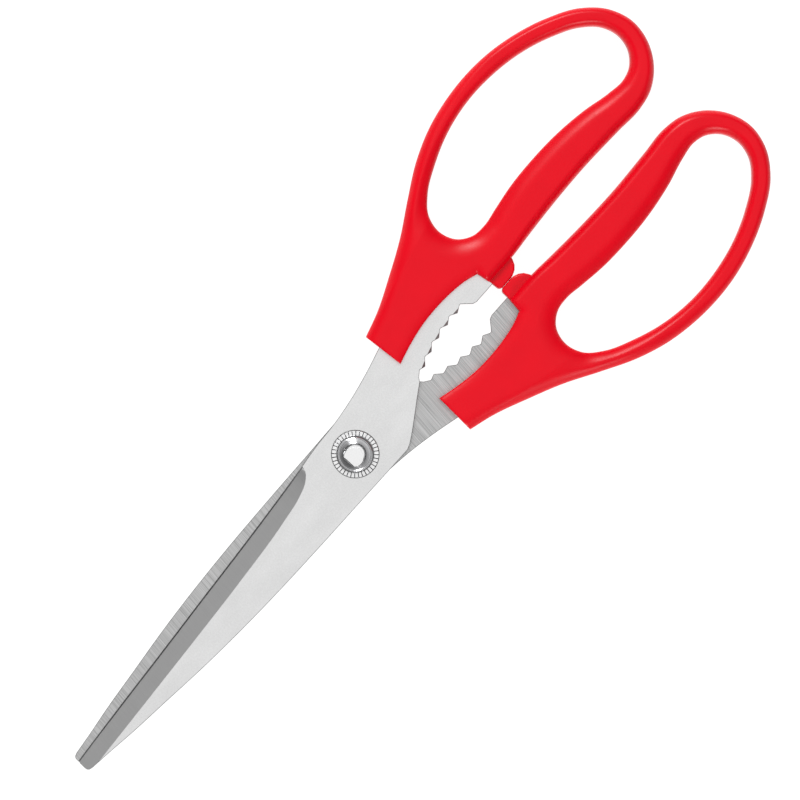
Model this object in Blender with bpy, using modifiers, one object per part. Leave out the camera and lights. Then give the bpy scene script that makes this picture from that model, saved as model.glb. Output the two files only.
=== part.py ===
"""Poultry shears, closed, lying flat on a bench.

The frame: the origin is where the pivot axis meets the bench, at the middle of the
bolt head's flat underside. +Z is up along the pivot axis, +Y runs from the pivot to
the handles, and -Y to the blade tips. The front blade is the upper one, and its
handle is on the -X side. Every flat outline below is in millimetres, for the front
half of the shears; the rear half is its mirror image in X.
"""

import math

import bmesh
import bpy
import numpy as np

MM = 0.001

# Heights, from the bench up.
HANDLE_THICKNESS = 12.4 * MM
MIDDLE_Z = HANDLE_THICKNESS / 2
BLADE_THICKNESS = 2.8 * MM
BLADE_GAP = 0.2 * MM
FRONT_BLADE_Z = MIDDLE_Z + BLADE_GAP / 2
FRONT_TOP_Z = FRONT_BLADE_Z + BLADE_THICKNESS
REAR_TOP_Z = MIDDLE_Z - BLADE_GAP / 2
REAR_BLADE_Z = REAR_TOP_Z - BLADE_THICKNESS

# Clearances.
MOULD_GAP = 0.3 * MM
SEAT_GAP = 0.05 * MM
RUNNING_GAP = 0.1 * MM

# The pivot.
SHOULDER_RADIUS = 3.6 * MM
STUD_RADIUS = 2.9 * MM
STUD_FLAT_Y = -2.3 * MM
STUD_TOP_Z = 11.4 * MM
BOLT_HEAD_RADIUS = 6.5 * MM
BOLT_HEAD_HEIGHT = 2.0 * MM
BOLT_HEAD_ROUNDING = 0.7 * MM
SPRING_WASHER_RADIUS = 6.0 * MM
SPRING_WASHER_THICKNESS = 0.35 * MM
SPRING_WASHER_RISE = 0.3 * MM
THRUST_WASHER_RADIUS = 6.2 * MM
THRUST_WASHER_THICKNESS = 0.4 * MM
SERRATED_RADIUS = 7.0 * MM
SERRATED_THICKNESS = 0.8 * MM
SERRATION_RADII = (5.4 * MM, 6.7 * MM)
SERRATION_DEPTH = 0.35 * MM
SERRATION_COUNT = 36
NUT_RADIUS = 5.5 * MM
NUT_RIM_RADIUS = 4.7 * MM
NUT_HEIGHT = 2.2 * MM
NUT_DISH_RADIUS = 3.2 * MM
NUT_DISH_DEPTH = 1.3 * MM
ROUND_STEPS = 48

# The ground bevel of each blade, and the steep narrow one along its edge.
BEVEL_SLOPE = 0.33
EDGE_LAND = 0.15 * MM
MICRO_BEVEL_WIDTH = 0.4 * MM
BEVEL_RUN_OUT = 1.2 * MM
BEVEL_TOP_Y = -12.65
BEVEL_STATIONS = 26

# The jaw: teeth whose tips lie on a shallow hollow.
TOOTH_COUNT = 5
TOOTH_PITCH = 4.45
FIRST_TOOTH_Y = 32.4
NOTCH_LAG = 2.0
NOTCH_DEPTH = 1.2
JAW_HOLLOW = 4.85
JAW_HOLLOW_Y = 49.5
JAW_CURVE = 0.011

TANG_HOLES = ((-10.2, 79.0, 1.9), (-13.2, 47.0, 1.9))

# The handle: half thicknesses.
GRIP_HALF = HANDLE_THICKNESS / 2
BOW_HALF = 4.1 * MM
STOP_HALF = 3.7 * MM
SECTION_STEPS = 4

SPINE = (
    (3.2, -118.4), (3.85, -112.5), (5.05, -103.5), (6.45, -90.0), (7.9, -76.0),
    (8.95, -62.0), (9.7, -46.0), (10.1, -28.0), (10.3, -8.0), (10.45, 4.0), (10.5, 11.0),
)
CROSSOVER = ((9.9, 12.7), (8.5, 15.1), (4.7, 21.0), (2.0, 25.1), (0.2, 28.0))
TANG = (
    (-2.9, 56.4), (-2.9, 66.0), (-7.4, 71.0), (-7.6, 83.0), (-8.6, 84.2), (-11.8, 84.2),
    (-12.8, 83.0), (-12.9, 74.0), (-13.5, 66.0), (-15.5, 59.0), (-17.4, 52.0),
    (-17.8, 44.0), (-16.8, 35.0),
)
SHANK = ((-15.2, 27.5), (-13.3, 20.0), (-11.4, 10.5), (-10.45, 3.0), (-9.95, -6.0), (-9.2, -13.0))
CUTTING_EDGE = ((-9.2, -13.0), (-8.5, -20.5), (-6.9, -40.0), (-5.5, -60.0), (-4.05, -80.0),
                (-2.7, -100.0), (-1.2, -119.6))
BEVEL_SHOULDER = (
    (-9.2, -12.8), (-7.5, -13.4), (-5.4, -15.8), (-3.9, -20.0), (-2.5, -28.5),
    (-0.5, -50.0), (0.8, -70.0), (1.95, -90.0), (3.0, -109.0), (3.7, -122.0),
)

# The handle's edge, counterclockwise on the +X side, in pieces that meet at corners.
COLLAR_END = ((7.5, 28.2), (20.2, 27.4))
OUTER_SIDE = (
    (20.2, 27.4), (22.5, 35.0), (26.8, 45.0), (31.6, 55.1), (37.4, 65.0), (42.9, 75.0),
    (46.6, 85.0), (48.4, 94.5), (48.9, 102.5), (48.3, 111.5), (46.2, 121.0), (42.3, 131.1),
    (36.8, 140.0), (30.4, 145.2), (23.0, 147.2), (15.5, 145.6), (9.2, 141.0), (5.7, 135.4),
    (4.5, 129.5), (4.9, 121.0), (5.4, 106.0), (5.1, 93.0), (4.4, 81.0), (3.8, 73.0),
    (4.0, 63.0),
)
SHELF = ((4.0, 63.0), (8.1, 62.4))
JAW_SIDE = ((8.1, 62.4), (9.3, 58.7), (10.2, 53.0), (10.5, 47.5), (10.2, 41.0), (9.1, 34.5),
            (7.5, 28.2))
FINGER_HOLE = (
    (24.5, 64.3), (29.7, 65.7), (34.2, 70.3), (38.4, 78.3), (41.8, 88.0), (43.4, 98.5),
    (43.0, 109.5), (40.9, 119.8), (37.5, 128.5), (33.2, 135.8), (28.6, 139.9), (23.5, 141.3),
    (18.2, 139.9), (14.8, 136.4), (13.7, 132.3), (14.3, 127.0), (16.3, 118.5), (17.8, 108.0),
    (18.2, 97.5), (17.8, 88.0), (16.7, 80.0), (15.9, 74.5), (16.4, 70.0), (19.3, 66.0),
)
# Sections of the handle: where each starts on a piece of the edge and on the finger
# hole (both counted in points of their lists), the half thickness there, and how many
# sections follow before the next entry.
SECTIONS = (
    (COLLAR_END, 0.0, 23.6, GRIP_HALF, 4),
    (OUTER_SIDE, 0.0, 24.7, GRIP_HALF, 8),
    (OUTER_SIDE, 4.0, 25.7, 5.4 * MM, 8),
    (OUTER_SIDE, 7.0, 28.6, BOW_HALF, 14),
    (OUTER_SIDE, 14.0, 35.0, 4.5 * MM, 7),
    (OUTER_SIDE, 18.0, 38.6, 5.8 * MM, 6),
    (OUTER_SIDE, 20.0, 41.2, GRIP_HALF, 6),
    (OUTER_SIDE, 23.0, 45.3, GRIP_HALF, 3),
    (SHELF, 0.0, 46.3, GRIP_HALF, 2),
    (JAW_SIDE, 0.0, 46.6, GRIP_HALF, 8),
)
# Rounded edges: the point of the outline, the width, the depth and how the rounding leaves
# the face, which is smoothly at 2 and with a ridge at less.
SIDE_ROUNDING = ((0, 4.6, 3.0, 2.0), (4, 4.0, 3.2, 2.0), (7, 3.2, 3.2, 2.0), (9, 2.0, 3.0, 2.0),
                 (14, 2.0, 3.2, 2.0), (17, 2.4, 3.8, 1.5), (18, 2.3, 4.4, 1.25),
                 (22, 2.2, 4.6, 1.25), (24, 2.0, 2.6, 1.4))
HOLE_ROUNDING = ((0, 6.2, 3.4, 1.4), (2, 4.4, 3.3, 1.6), (4, 2.2, 2.9, 1.8), (9, 2.0, 2.8, 1.8),
                 (12, 2.4, 3.0, 1.8), (14, 3.6, 3.6, 1.6), (17, 4.4, 3.6, 1.3),
                 (21, 4.6, 3.4, 1.3), (24, 6.2, 3.4, 1.4))
COLLAR_ROUNDING = ((0, 0.6, 0.6, 2.0), (1, 0.6, 0.6, 2.0))
SHELF_ROUNDING = ((0, 1.4, 1.2, 1.6), (1, 1.4, 1.2, 1.6))
JAW_ROUNDING = ((0, 3.0, 1.1, 1.4), (6, 3.2, 1.1, 1.4))
STOP_LUG = ((8.0, 71.0), (5.0, 72.9), (3.3, 72.4), (1.8, 71.7), (0.75, 70.6), (0.2, 69.0),
            (0.15, 64.1), (0.6, 63.2), (8.0, 62.9))

RED = (0.72, 0.012, 0.02)
SATIN = (0.68, 0.68, 0.68)
CHROME = (0.80, 0.80, 0.81)
SPRING_STEEL = (0.42, 0.42, 0.43)


def clear_scene():
    for obj in list(bpy.data.objects):
        bpy.data.objects.remove(obj)


def material(name, colour, roughness, metallic):
    made = bpy.data.materials.new(name)
    made.use_nodes = True
    shader = made.node_tree.nodes["Principled BSDF"]
    shader.inputs["Base Color"].default_value = (*colour, 1)
    shader.inputs["Roughness"].default_value = roughness
    shader.inputs["Metallic"].default_value = metallic
    return made


def tangents(points, closed):
    """The slope at each point of the parabola through it and its two neighbours."""
    before = np.roll(points, 1, axis=0)
    after = np.roll(points, -1, axis=0)
    back = np.linalg.norm(points - before, axis=1)[:, None]
    ahead = np.linalg.norm(after - points, axis=1)[:, None]
    slope = ((points - before) / back * ahead + (after - points) / ahead * back) / (back + ahead)
    if not closed:
        slope[0] = (points[1] - points[0]) / ahead[0]
        slope[-1] = (points[-1] - points[-2]) / back[-1]
    return slope


def along(outline, where, closed=False):
    """Points of a smooth curve through outline, where counts in points of the list."""
    points = np.array(outline, float)
    slope = tangents(points, closed)
    where = np.atleast_1d(np.asarray(where, float))
    spans = len(points) if closed else len(points) - 1
    start = np.clip(np.floor(where), 0, spans - 1 if not closed else None).astype(int)
    t = (where - start)[:, None]
    a, b = start % len(points), (start + 1) % len(points)
    chord = np.linalg.norm(points[b] - points[a], axis=1)[:, None]
    return (
        points[a] * (2 * t**3 - 3 * t**2 + 1)
        + slope[a] * chord * (t**3 - 2 * t**2 + t)
        + points[b] * (3 * t**2 - 2 * t**3)
        + slope[b] * chord * (t**3 - t**2)
    )


def smooth(outline, steps):
    """The curve through outline, cut into steps pieces for each of its spans."""
    return along(outline, np.linspace(0, len(outline) - 1, (len(outline) - 1) * steps + 1))


def jaw_teeth():
    """The saw-toothed inner edge of the front blade's jaw, from the pivot outwards."""
    def hollow(y):
        return JAW_HOLLOW - JAW_CURVE * (y - JAW_HOLLOW_Y) ** 2

    points = [(-0.9, 28.8), (-2.2, 30.6)]
    for k in range(TOOTH_COUNT):
        tip = FIRST_TOOTH_Y + k * TOOTH_PITCH
        notch = tip + NOTCH_LAG
        points.append((-hollow(tip), tip))
        points.append((-hollow(notch) - NOTCH_DEPTH, notch))
        points.append((-hollow(notch) - NOTCH_DEPTH, notch + 0.5))
    points.append((-3.3, 55.2))
    return points


def blade_outline():
    """The front blade with its tang, counterclockwise."""
    tip = [(-1.2, -119.6), (-0.4, -119.95), (1.9, -120.0), (2.8, -119.5)]
    return np.concatenate([
        tip,
        smooth(SPINE, 2),
        smooth(CROSSOVER, 1),
        jaw_teeth(),
        TANG,
        smooth(SHANK, 2)[:-1],
        smooth(CUTTING_EDGE, 2)[:-1],
    ])


def circle(x, y, radius, steps=24):
    turn = np.linspace(0, 2 * math.pi, steps, endpoint=False)
    return np.stack([x + radius * np.cos(turn), y + radius * np.sin(turn)], axis=1)


def stud_hole(radius, flat_y):
    """A round hole about the pivot with one flat, at flat_y."""
    ring = circle(0, 0, radius, ROUND_STEPS)
    ring[:, 1] = np.maximum(ring[:, 1], flat_y)
    return ring


def mirrored(points):
    return np.array(points, float) * (-1, 1)


def grown(points, gap):
    """A counterclockwise outline moved outwards by gap, its corners kept sharp."""
    points = np.array(points, float)
    step = np.roll(points, -1, axis=0) - points
    step /= np.linalg.norm(step, axis=1)[:, None]
    normal = np.stack([step[:, 1], -step[:, 0]], axis=1)
    before = np.roll(normal, 1, axis=0)
    return points + gap * (normal + before) / (1 + (normal * before).sum(axis=1))[:, None]


def collection(name):
    made = bpy.data.collections.new(name)
    bpy.context.scene.collection.children.link(made)
    return made


def add(name, mesh, group, finish=None):
    obj = bpy.data.objects.new(name, mesh)
    group.objects.link(obj)
    if finish:
        mesh.materials.append(finish)
    return obj


def plate(name, outlines, low, high, group, finish=None):
    """A flat piece between two heights: the first outline is its edge, the rest holes."""
    curve = bpy.data.curves.new(name, "CURVE")
    curve.dimensions = "2D"
    curve.fill_mode = "BOTH"
    curve.extrude = (high - low) / 2
    for outline in outlines:
        spline = curve.splines.new("POLY")
        spline.points.add(len(outline) - 1)
        for point, (x, y) in zip(spline.points, outline):
            point.co = (x * MM, y * MM, 0, 1)
        spline.use_cyclic_u = True
    drawn = bpy.data.objects.new(name + "_outline", curve)
    bpy.context.scene.collection.objects.link(drawn)
    bpy.context.view_layer.update()
    graph = bpy.context.evaluated_depsgraph_get()
    mesh = bpy.data.meshes.new_from_object(drawn.evaluated_get(graph))
    bpy.data.objects.remove(drawn)
    sheet = bmesh.new()
    sheet.from_mesh(mesh)
    bmesh.ops.remove_doubles(sheet, verts=sheet.verts, dist=1e-6)
    bmesh.ops.recalc_face_normals(sheet, faces=sheet.faces)
    sheet.to_mesh(mesh)
    sheet.free()
    made = add(name, mesh, group, finish)
    made.location.z = (low + high) / 2
    return made


def loft(name, sections, group, finish=None, ring=False):
    """A solid through sections of equally many points; ring joins the last to the first."""
    body = bmesh.new()
    rows = [[body.verts.new(point) for point in section] for section in sections]
    pairs = list(zip(rows, rows[1:] + rows[:1])) if ring else list(zip(rows, rows[1:]))
    for row, after in pairs:
        for k in range(len(row)):
            nxt = (k + 1) % len(row)
            body.faces.new((row[k], row[nxt], after[nxt], after[k]))
    if not ring:
        body.faces.new(rows[0][::-1])
        body.faces.new(rows[-1])
    bmesh.ops.recalc_face_normals(body, faces=body.faces)
    mesh = bpy.data.meshes.new(name)
    body.to_mesh(mesh)
    body.free()
    return add(name, mesh, group, finish)


def turned(name, profile, group, finish, closed):
    """A piece turned about the pivot axis from a profile of (radius, height)."""
    mesh = bpy.data.meshes.new(name)
    count = len(profile)
    edges = [(k, k + 1) for k in range(count - 1)] + ([(count - 1, 0)] if closed else [])
    mesh.from_pydata([(radius, 0, height) for radius, height in profile], edges, [])
    made = add(name, mesh, group, finish)
    screw = made.modifiers.new("turn", "SCREW")
    screw.steps = screw.render_steps = ROUND_STEPS
    screw.use_merge_vertices = True
    screw.merge_threshold = 1e-6
    screw.use_smooth_shade = False
    return made


def cut(obj, cutter, operation="DIFFERENCE"):
    boolean = obj.modifiers.new(operation.lower(), "BOOLEAN")
    boolean.operation = operation
    boolean.object = cutter
    cutter.hide_render = True
    cutter.display_type = "WIRE"


def bevel_sections(face_z, top_z):
    """Sections of the wedge that grinding takes off: top_z is the blade's outer face,
    and face_z the inner one. The front blade's run from the shoulder to the edge."""
    outward = math.copysign(1, top_z - face_z)
    full = BLADE_THICKNESS - EDGE_LAND
    over, beyond = 0.6 * MM, 3 * MM
    edge = smooth(CUTTING_EDGE + ((-0.9, -122.5),), 12)[::-1]
    shoulder = smooth(BEVEL_SHOULDER, 12)[::-1]
    sections = []
    share = np.linspace(0, 1, BEVEL_STATIONS) ** 1.6
    for y in BEVEL_TOP_Y - share * (122 + BEVEL_TOP_Y):
        at_edge = np.interp(y, edge[:, 1], edge[:, 0]) * MM
        at_shoulder = np.interp(y, shoulder[:, 1], shoulder[:, 0]) * MM
        width = max(at_shoulder - at_edge, 0.1 * MM)
        micro = min(MICRO_BEVEL_WIDTH, width / 2)
        depth = full * min(1, width / BEVEL_RUN_OUT)
        profile = [
            (at_edge + width + over / BEVEL_SLOPE, over),
            (at_edge + micro, -BEVEL_SLOPE * (width - micro)),
            (at_edge, -depth),
            (at_edge - beyond, -depth),
            (at_edge - beyond, over),
        ]
        sections.append([(x, y * MM, top_z + outward * rise) for x, rise in profile])
    return sections


def make_blade(name, side, low, high, hole, group, cutters, finish):
    """side is -1 for the front blade, whose tang is on the -X side, and 1 for the rear."""
    flip = mirrored if side > 0 else np.array
    outlines = [blade_outline(), *(circle(*hole_at) for hole_at in TANG_HOLES)]
    body = plate(name, [*map(flip, outlines), hole], low, high, group, finish)
    top, face = (high, low) if side < 0 else (low, high)
    sections = bevel_sections(face, top)
    if side > 0:
        sections = [[(-x, y, z) for x, y, z in section] for section in sections]
    cut(body, loft(name + "_grind", sections, cutters))
    return body


def nearest(points, piece, closed=False):
    """How far each point is from a piece of the edge, and where on it the nearest is."""
    steps = 6
    spans = len(piece) if closed else len(piece) - 1
    where = np.linspace(0, spans, spans * steps + 1)
    line = along(piece, where, closed)
    start, run = line[:-1], np.diff(line, axis=0)
    share = ((points[:, None] - start) * run).sum(axis=2) / (run**2).sum(axis=1)
    share = np.clip(share, 0, 1)
    gap = np.linalg.norm(points[:, None] - start - share[..., None] * run, axis=2)
    best = gap.argmin(axis=1)
    rows = np.arange(len(points))
    return gap[rows, best], where[best] + share[rows, best] / steps


def edge_drop_at(points, piece, rounding, closed=False):
    """How far the rounded edge along a piece takes the handle's face down at each point."""
    distance, where = nearest(points, piece, closed)
    keys = np.array(rounding, float)
    width, depth, crest = (np.interp(where, keys[:, 0], keys[:, k]) for k in (1, 2, 3))
    short = 1 - np.clip(distance / width, 0, 1)
    return depth * (1 - np.sqrt(1 - short**crest))


def handle_sections():
    """Closed sections of the rear handle, each across from its edge to the finger hole."""
    turn = np.linspace(0, math.pi / 2, SECTION_STEPS + 1)
    sections = []
    for index, (piece, start, hole_start, half, count) in enumerate(SECTIONS):
        after = SECTIONS[(index + 1) % len(SECTIONS)]
        end = after[1] if after[0] is piece else len(piece) - 1
        hole_end = after[2] if index + 1 < len(SECTIONS) else after[2] + len(FINGER_HOLE)
        for share in np.arange(count) / count:
            ease = share * share * (3 - 2 * share)
            outer = along(piece, start + share * (end - start))[0]
            hole_at = (hole_start + share * (hole_end - hole_start)) % len(FINGER_HOLE)
            inner = along(FINGER_HOLE, hole_at, closed=True)[0]
            length = np.linalg.norm(inner - outer)
            reach = min(4.6, 0.42 * length), min(6.2, 0.42 * length)
            outside = reach[0] * (1 - np.cos(turn)) / length
            inside = 1 - reach[1] * (1 - np.cos(turn)) / length
            line = outer + np.concatenate([outside, inside[::-1]])[:, None] * (inner - outer)
            drop = np.max([
                edge_drop_at(line, COLLAR_END, COLLAR_ROUNDING),
                edge_drop_at(line, OUTER_SIDE, SIDE_ROUNDING),
                edge_drop_at(line, SHELF, SHELF_ROUNDING),
                edge_drop_at(line, JAW_SIDE, JAW_ROUNDING),
                edge_drop_at(line, FINGER_HOLE, HOLE_ROUNDING, closed=True),
            ], axis=0) * MM
            rise = half + ease * (after[3] - half) - drop
            upper = [(x * MM, y * MM, MIDDLE_Z + z) for (x, y), z in zip(line, rise)]
            lower = [(x * MM, y * MM, MIDDLE_Z - z) for (x, y), z in zip(line, rise)]
            sections.append(upper + lower[::-1])
    return sections


def make_handle(name, side, blade_low, blade_high, group, cutters, finish):
    """A moulded handle: its loop, its stop lug, and the pocket that the tang fills."""
    sections = handle_sections()
    if side < 0:
        sections = [[(-x, y, z) for x, y, z in section] for section in sections]
    body = loft(name, sections, group, finish, ring=True)
    flip = np.array if side > 0 else mirrored
    lug = plate(name + "_lug", [flip(STOP_LUG)], MIDDLE_Z - STOP_HALF, MIDDLE_Z + STOP_HALF, cutters)
    cut(body, lug, "UNION")
    tang = grown([(-1.0, 20.0), (-1.0, 56.4), *TANG, *SHANK[:2]], MOULD_GAP / MM)
    keys = [circle(x, y, radius - MOULD_GAP / MM) for x, y, radius in TANG_HOLES]
    unflip = mirrored if side > 0 else np.array
    pocket = plate(name + "_pocket", [unflip(tang), *map(unflip, keys)],
                   blade_low - MOULD_GAP, blade_high + MOULD_GAP, cutters)
    cut(body, pocket)
    return body


def make_bolt(group, cutters, finish):
    """Head under the rear blade, a shoulder that it turns on, and a stud with a flat."""
    rim = BOLT_HEAD_ROUNDING
    shoulder_top = REAR_TOP_Z + BLADE_GAP / 2
    profile = [
        (0, STUD_TOP_Z),
        (STUD_RADIUS - 0.25 * MM, STUD_TOP_Z),
        (STUD_RADIUS, STUD_TOP_Z - 0.25 * MM),
        (STUD_RADIUS, shoulder_top),
        (SHOULDER_RADIUS, shoulder_top),
        (SHOULDER_RADIUS, BOLT_HEAD_HEIGHT),
        (BOLT_HEAD_RADIUS, BOLT_HEAD_HEIGHT),
        (BOLT_HEAD_RADIUS, rim),
        (BOLT_HEAD_RADIUS - 0.3 * rim, 0.3 * rim),
        (BOLT_HEAD_RADIUS - rim, 0),
        (0, 0),
    ]
    bolt = turned("pivot_bolt", profile, group, finish, closed=False)
    bpy.ops.mesh.primitive_cube_add(size=1)
    flat = bpy.context.object
    flat.name = "stud_flat_cutter"
    for owner in flat.users_collection:
        owner.objects.unlink(flat)
    cutters.objects.link(flat)
    height = STUD_TOP_Z - shoulder_top + 2 * MM
    flat.scale = (8 * MM, 4 * MM, height)
    flat.location = (0, STUD_FLAT_Y - 2 * MM, shoulder_top + SEAT_GAP + height / 2)
    cut(bolt, flat)
    return bolt


def ring_profile(inner, outer, low, high, rise=0.0):
    """A washer's section; rise lifts its inner edge, as on a conical spring washer."""
    return [(inner, high + rise), (outer, high), (outer, low), (inner, low + rise)]


def make_rear_washers(group, finish):
    """A thrust washer against the rear blade, and a conical spring washer under it."""
    bore = SHOULDER_RADIUS + RUNNING_GAP
    thrust_low = REAR_BLADE_Z - SEAT_GAP - THRUST_WASHER_THICKNESS
    thrust = ring_profile(bore, THRUST_WASHER_RADIUS, thrust_low,
                          thrust_low + THRUST_WASHER_THICKNESS)
    turned("thrust_washer", thrust, group, finish, closed=True)
    spring_low = BOLT_HEAD_HEIGHT + SEAT_GAP
    spring = ring_profile(bore, SPRING_WASHER_RADIUS, spring_low,
                          spring_low + SPRING_WASHER_THICKNESS, SPRING_WASHER_RISE)
    turned("spring_washer", spring, group, finish, closed=True)


def make_serrated_washer(group, finish):
    """A washer under the nut, with radial grooves in the part of its face that shows."""
    bore = STUD_RADIUS + RUNNING_GAP
    low = FRONT_TOP_Z + SEAT_GAP
    high = low + SERRATED_THICKNESS
    inner, outer = SERRATION_RADII
    sections = []
    for k in range(2 * SERRATION_COUNT):
        angle = math.pi * k / SERRATION_COUNT
        face = high - (k % 2) * SERRATION_DEPTH
        profile = [
            (bore, low),
            (SERRATED_RADIUS, low),
            (SERRATED_RADIUS, high - SERRATION_DEPTH),
            (outer, face),
            (inner, face),
            (inner - 0.25 * MM, high),
            (bore, high),
        ]
        sections.append([(r * math.cos(angle), r * math.sin(angle), z) for r, z in profile])
    loft("serrated_washer", sections, group, finish, ring=True)


def make_nut(group, finish):
    """A round nut whose top is dished, so that the stud's end shows inside its rim."""
    low = FRONT_TOP_Z + SERRATED_THICKNESS + 2 * SEAT_GAP
    high = low + NUT_HEIGHT
    rim = NUT_RIM_RADIUS
    profile = [
        (rim - 0.2 * MM, high),
        (rim + 0.2 * MM, high),
        (NUT_RADIUS, high - 1.0 * MM),
        (NUT_RADIUS, low),
        (STUD_RADIUS + RUNNING_GAP, low),
        (STUD_RADIUS + RUNNING_GAP, high - NUT_DISH_DEPTH),
        (NUT_DISH_RADIUS, high - NUT_DISH_DEPTH),
    ]
    turned("pivot_nut", profile, group, finish, closed=True)


def main():
    clear_scene()
    shears = collection("poultry_shears")
    cutters = collection("cutters")
    red = material("red_plastic", RED, 0.35, 0)
    satin = material("satin_steel", SATIN, 0.38, 1)
    chrome = material("chrome", CHROME, 0.12, 1)
    spring_steel = material("spring_steel", SPRING_STEEL, 0.4, 1)
    key_hole = stud_hole((STUD_RADIUS + RUNNING_GAP) / MM, (STUD_FLAT_Y - RUNNING_GAP) / MM)
    round_hole = circle(0, 0, (SHOULDER_RADIUS + RUNNING_GAP) / MM, ROUND_STEPS)
    make_blade("front_blade", -1, FRONT_BLADE_Z, FRONT_TOP_Z, key_hole, shears, cutters, satin)
    make_blade("rear_blade", 1, REAR_BLADE_Z, REAR_TOP_Z, round_hole, shears, cutters, satin)
    make_handle("front_handle", -1, FRONT_BLADE_Z, FRONT_TOP_Z, shears, cutters, red)
    make_handle("rear_handle", 1, REAR_BLADE_Z, REAR_TOP_Z, shears, cutters, red)
    make_bolt(shears, cutters, chrome)
    make_rear_washers(shears, spring_steel)
    make_serrated_washer(shears, chrome)
    make_nut(shears, chrome)


main()
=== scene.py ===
"""Poultry shears on a pale floor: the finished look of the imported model.

Outlines are in millimetres in the model's own frame, for the front half of the shears
or, for the handle, for the rear half; the other half is the mirror image in X.
"""

import math

import bmesh
import bpy
import numpy as np
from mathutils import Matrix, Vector


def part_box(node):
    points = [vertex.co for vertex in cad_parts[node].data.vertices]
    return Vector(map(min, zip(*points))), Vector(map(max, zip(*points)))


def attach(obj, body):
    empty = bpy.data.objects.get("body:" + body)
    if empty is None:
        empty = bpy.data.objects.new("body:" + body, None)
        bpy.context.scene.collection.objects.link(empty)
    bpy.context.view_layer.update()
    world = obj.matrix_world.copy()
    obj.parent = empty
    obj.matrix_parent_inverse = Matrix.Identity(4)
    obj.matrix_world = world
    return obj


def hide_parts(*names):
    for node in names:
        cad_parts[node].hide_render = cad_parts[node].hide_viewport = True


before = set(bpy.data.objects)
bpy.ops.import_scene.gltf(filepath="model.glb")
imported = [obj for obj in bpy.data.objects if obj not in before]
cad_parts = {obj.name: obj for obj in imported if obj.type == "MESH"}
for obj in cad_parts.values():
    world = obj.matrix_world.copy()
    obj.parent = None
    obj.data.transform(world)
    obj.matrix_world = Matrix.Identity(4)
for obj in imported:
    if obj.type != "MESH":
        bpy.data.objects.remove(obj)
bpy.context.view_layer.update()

MM = 0.001

# Heights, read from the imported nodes.
REAR_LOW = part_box("rear_blade")[0].z
REAR_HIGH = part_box("rear_blade")[1].z
FRONT_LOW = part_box("front_blade")[0].z
FRONT_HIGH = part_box("front_blade")[1].z
HANDLE_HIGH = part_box("front_handle")[1].z
MIDDLE_Z = HANDLE_HIGH / 2
BLADE_THICKNESS = FRONT_HIGH - FRONT_LOW

# Blades.
EDGE_ROUNDING = 0.14 * MM
PIVOT_HOLE_RADIUS = 3.0
PIVOT_HOLE_STEPS = 64
BEVEL_SLOPE = 0.33
EDGE_LAND = 0.12
MICRO_BEVEL = 0.45
BEVEL_RUN_OUT = 1.2
BEVEL_LEAST_WIDTH = 0.1
BEVEL_TOP_Y = -12.65
BEVEL_END_Y = -122.2
BEVEL_STATIONS = 160
BEVEL_CROWDING = 1.7
EDGE_BEYOND_TIP = (-0.9, -122.5)
CUTTER_RISE = 0.5
CUTTER_REACH = 3
TOOTH_COUNT = 5
TOOTH_PITCH = 4.45
FIRST_TOOTH_Y = 32.4
NOTCH_LAG = 2.0
NOTCH_DEPTH = 1.2
NOTCH_WIDTH = 0.5
JAW_START = ((-0.9, 28.8), (-2.2, 30.6))
JAW_END = (-3.3, 55.2)
JAW_HOLLOW = 4.85
JAW_HOLLOW_Y = 49.5
JAW_CURVE = 0.011
JAW_CHAMFER = 0.85
JAW_CHAMFER_RUN = 1.25
JAW_CHAMFER_DEPTH = 2.0
JAW_CHAMFER_ENDS = (30.6, 53.2)
JAW_CHAMFER_STATIONS = 50

# A blade's looks in their order, and how its faces are told apart. The edge look's dark steel on the
# roundings, side walls and micro-bevel is painted shade: it stands in for the shadow lines along the
# edges.
OUTER_LOOK, BEVEL_LOOK, INNER_LOOK, PAINTED_SHADE_EDGE_LOOK = range(4)
FLAT_NORMAL = 0.995
BEVEL_NORMAL = 0.75
FLAT_DEPTH = 0.05 * MM
LEVEL_NORMAL = 0.9999

SPINE = (
    (3.2, -118.4), (3.85, -112.5), (5.05, -103.5), (6.45, -90.0), (7.9, -76.0),
    (8.95, -62.0), (9.7, -46.0), (10.1, -28.0), (10.3, -8.0), (10.45, 4.0), (10.5, 11.0),
)
CROSSOVER = ((9.9, 12.7), (8.5, 15.1), (4.7, 21.0), (2.0, 25.1), (0.2, 28.0))
TANG = (
    (-2.9, 56.4), (-2.9, 66.0), (-7.4, 71.0), (-7.6, 83.0), (-8.6, 84.2), (-11.8, 84.2),
    (-12.8, 83.0), (-12.9, 74.0), (-13.5, 66.0), (-15.5, 59.0), (-17.4, 52.0),
    (-17.8, 44.0), (-16.8, 35.0),
)
SHANK = ((-15.2, 27.5), (-13.3, 20.0), (-11.4, 10.5), (-10.45, 3.0), (-9.95, -6.0), (-9.2, -13.0))
CUTTING_EDGE = ((-9.2, -13.0), (-8.5, -20.5), (-6.9, -40.0), (-5.5, -60.0), (-4.05, -80.0),
                (-2.7, -100.0), (-1.2, -119.6))
BLADE_TIP = ((-1.2, -119.6), (-0.75, -119.85), (-0.2, -119.97), (1.7, -120.0), (2.35, -119.87),
             (2.85, -119.45))
BEVEL_SHOULDER = (
    (-9.2, -12.8), (-7.5, -13.4), (-5.4, -15.8), (-3.9, -20.0), (-2.5, -28.5),
    (-0.5, -50.0), (0.8, -70.0), (1.95, -90.0), (3.0, -109.0), (3.7, -122.0),
)

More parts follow.
